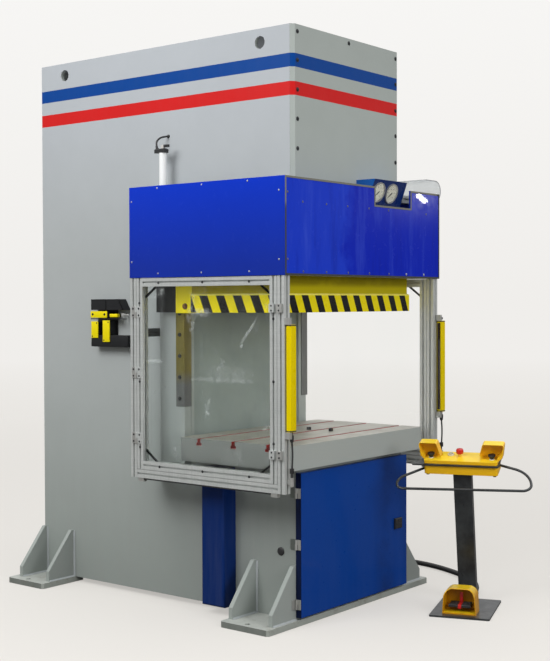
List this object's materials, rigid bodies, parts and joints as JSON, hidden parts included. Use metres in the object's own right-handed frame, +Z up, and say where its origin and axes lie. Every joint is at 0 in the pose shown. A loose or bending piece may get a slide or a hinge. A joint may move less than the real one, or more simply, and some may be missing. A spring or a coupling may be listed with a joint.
{
  "type": "hydraulic c-frame press",
  "caption": "Floor-standing C-frame hydraulic press with a guarded work space, slotted table, moving ram, base cabinet and a separate two-hand control stand.",
  "frame": {"origin": "on the floor, in the middle of the machine's width, under the front face of its head", "axes": "+X to the right seen from the operator's side, +Y to the rear, +Z up"},
  "size_m": [1.9253, 2.889, 3.1],
  "materials": {
    "back_plate": "light grey enamel, satin",
    "base_door": "blue enamel, satin",
    "base_door_hinges": "light grey enamel",
    "base_door_latch": "moulded",
    "base_plates": "light grey enamel, satin",
    "clear_side_cover": "clear sheet",
    "conduit_glands": "black enamel",
    "control_box": "yellow enamel",
    "control_conduit": "ribbed sheath",
    "control_lid": "yellow enamel",
    "control_stand": "black enamel",
    "curtain_cables": "sheath",
    "curtain_clamps": "plated",
    "emergency_stop": "moulded",
    "enclosure_posts": "anodised",
    "enclosure_rails": "anodised",
    "fixed_fittings": "dark enamel",
    "foot_gussets": "light grey enamel, satin",
    "foot_plates": "light grey enamel, satin",
    "foot_treadle": "ribbed",
    "gauge_box": "blue enamel, satin",
    "gauge_cases": "bezel",
    "gauge_needle_left": "black enamel",
    "gauge_needle_right": "black enamel",
    "guard_rail": "black enamel",
    "guide_rails": "machined",
    "guide_shoes": "yellow enamel",
    "head_cover": "light grey enamel, satin",
    "head_floor": "light grey enamel, satin",
    "hood_front_panel": "blue enamel, satin",
    "hood_side_panels": "blue enamel, satin",
    "left_door_frame": "anodised",
    "left_door_pane": "clear sheet",
    "light_curtains": "yellow enamel",
    "main_cylinder": "dark grey enamel",
    "oil_tank": "blue enamel, satin",
    "palm_button_left": "moulded",
    "palm_button_right": "moulded",
    "pedal_hood": "yellow enamel",
    "piston_rod": "ground and plated",
    "pressure_pipe": "machined",
    "pump_motor": "enamel",
    "ram": "olive yellow enamel",
    "ram_skirt": "yellow and black stripes",
    "right_door_frame": "anodised",
    "right_door_pane": "clear sheet",
    "side_duct": "blue enamel, satin",
    "side_plate_left": "light grey enamel, satin",
    "side_plate_right": "light grey enamel, satin",
    "start_button": "plated",
    "station_switches": "yellow enamel",
    "stroke_transducer": "light grey enamel",
    "switch_station": "black enamel",
    "table": "machined top, grey sides",
    "table_studs": "moulded",
    "throat_plate": "light grey enamel, satin",
    "top_plate": "light grey enamel, satin",
    "transducer_arm": "black enamel",
    "valve_block": "machined"
  },
  "bodies": {
    "press": {"back_plate": "back_plate", "base_plates": "base_plates", "clear_side_cover": "clear_side_cover", "conduit_glands": "conduit_glands", "control_box": "control_box", "control_conduit": "control_conduit", "control_lid": "control_lid", "control_stand": "control_stand", "curtain_cables": "curtain_cables", "curtain_clamps": "curtain_clamps", "enclosure_posts": "enclosure_posts", "enclosure_rails": "enclosure_rails", "fixed_fittings": "fixed_fittings", "foot_gussets": "foot_gussets", "foot_plates": "foot_plates", "gauge_box": "gauge_box", "gauge_cases": "gauge_cases", "guard_rail": "guard_rail", "guide_rails": "guide_rails", "head_cover": "head_cover", "head_floor": "head_floor", "hood_front_panel": "hood_front_panel", "hood_side_panels": "hood_side_panels", "light_curtains": "light_curtains", "main_cylinder": "main_cylinder", "oil_tank": "oil_tank", "pedal_hood": "pedal_hood", "pressure_pipe": "pressure_pipe", "pump_motor": "pump_motor", "side_duct": "side_duct", "side_plate_left": "side_plate_left", "side_plate_right": "side_plate_right", "station_switches": "station_switches", "stroke_transducer": "stroke_transducer", "switch_station": "switch_station", "table": "table", "table_studs": "table_studs", "throat_plate": "throat_plate", "top_plate": "top_plate", "valve_block": "valve_block"},
    "ram": {"ram": "ram", "ram_skirt": "ram_skirt", "guide_shoes": "guide_shoes", "piston_rod": "piston_rod", "transducer_arm": "transducer_arm"},
    "left_door": {"left_door_frame": "left_door_frame", "left_door_pane": "left_door_pane"},
    "right_door": {"right_door_frame": "right_door_frame", "right_door_pane": "right_door_pane"},
    "base_door": {"base_door": "base_door", "base_door_hinges": "base_door_hinges"},
    "latch": {"base_door_latch": "base_door_latch"},
    "needle_left": {"gauge_needle_left": "gauge_needle_left"},
    "needle_right": {"gauge_needle_right": "gauge_needle_right"},
    "palm_left": {"palm_button_left": "palm_button_left"},
    "palm_right": {"palm_button_right": "palm_button_right"},
    "stop_button": {"emergency_stop": "emergency_stop"},
    "start": {"start_button": "start_button"},
    "treadle": {"foot_treadle": "foot_treadle"}
  },
  "joints": [
    {"name": "ram_stroke", "type": "slide", "parent": "press", "child": "ram", "axis": [0, 0, -1], "range_m": [0, 0.5]},
    {"name": "left_door_hinge", "type": "hinge", "parent": "press", "child": "left_door", "pos_m": [-0.7345, 0.90275, 1.28], "axis": [0, 0, -1], "range_deg": [0, 110]},
    {"name": "right_door_hinge", "type": "hinge", "parent": "press", "child": "right_door", "pos_m": [0.7345, 0.90275, 1.28], "axis": [0, 0, 1], "range_deg": [0, 110]},
    {"name": "base_door_hinge", "type": "hinge", "parent": "press", "child": "base_door", "pos_m": [-0.5115, -0.024, 0.418], "axis": [0, 0, -1], "range_deg": [0, 13]},
    {"name": "base_door_latch_turn", "type": "hinge", "parent": "base_door", "child": "latch", "pos_m": [0.402, -0.05, 0.409], "axis": [0, -1, 0], "range_deg": [0, 90]},
    {"name": "gauge_left_needle_turn", "type": "hinge", "parent": "press", "child": "needle_left", "pos_m": [0.134, -0.099, 2.2725], "axis": [0, 0.9377, 0.3473], "range_deg": [0, 270]},
    {"name": "gauge_right_needle_turn", "type": "hinge", "parent": "press", "child": "needle_right", "pos_m": [0.262, -0.099, 2.2725], "axis": [0, 0.9377, 0.3473], "range_deg": [0, 270]},
    {"name": "palm_left_press", "type": "slide", "parent": "press", "child": "palm_left", "axis": [0.2353, 0.0856, -0.9681], "range_m": [0, 0.006], "stiffness_N_per_m": 1500, "springref_m": -0.002},
    {"name": "palm_right_press", "type": "slide", "parent": "press", "child": "palm_right", "axis": [0.2353, 0.0856, -0.9681], "range_m": [0, 0.006], "stiffness_N_per_m": 1500, "springref_m": -0.002},
    {"name": "emergency_stop_press", "type": "slide", "parent": "press", "child": "stop_button", "axis": [0.2353, 0.0856, -0.9681], "range_m": [0, 0.006]},
    {"name": "start_press", "type": "slide", "parent": "press", "child": "start", "axis": [0.2353, 0.0856, -0.9681], "range_m": [0, 0.004], "stiffness_N_per_m": 1000, "springref_m": -0.002},
    {"name": "treadle_press", "type": "hinge", "parent": "press", "child": "treadle", "pos_m": [0.26825, -0.54842, 0.051], "axis": [0.342, -0.9397, 0], "range_deg": [0, 12], "stiffness_Nm_per_rad": 8, "springref_deg": -5.73}
  ]
}
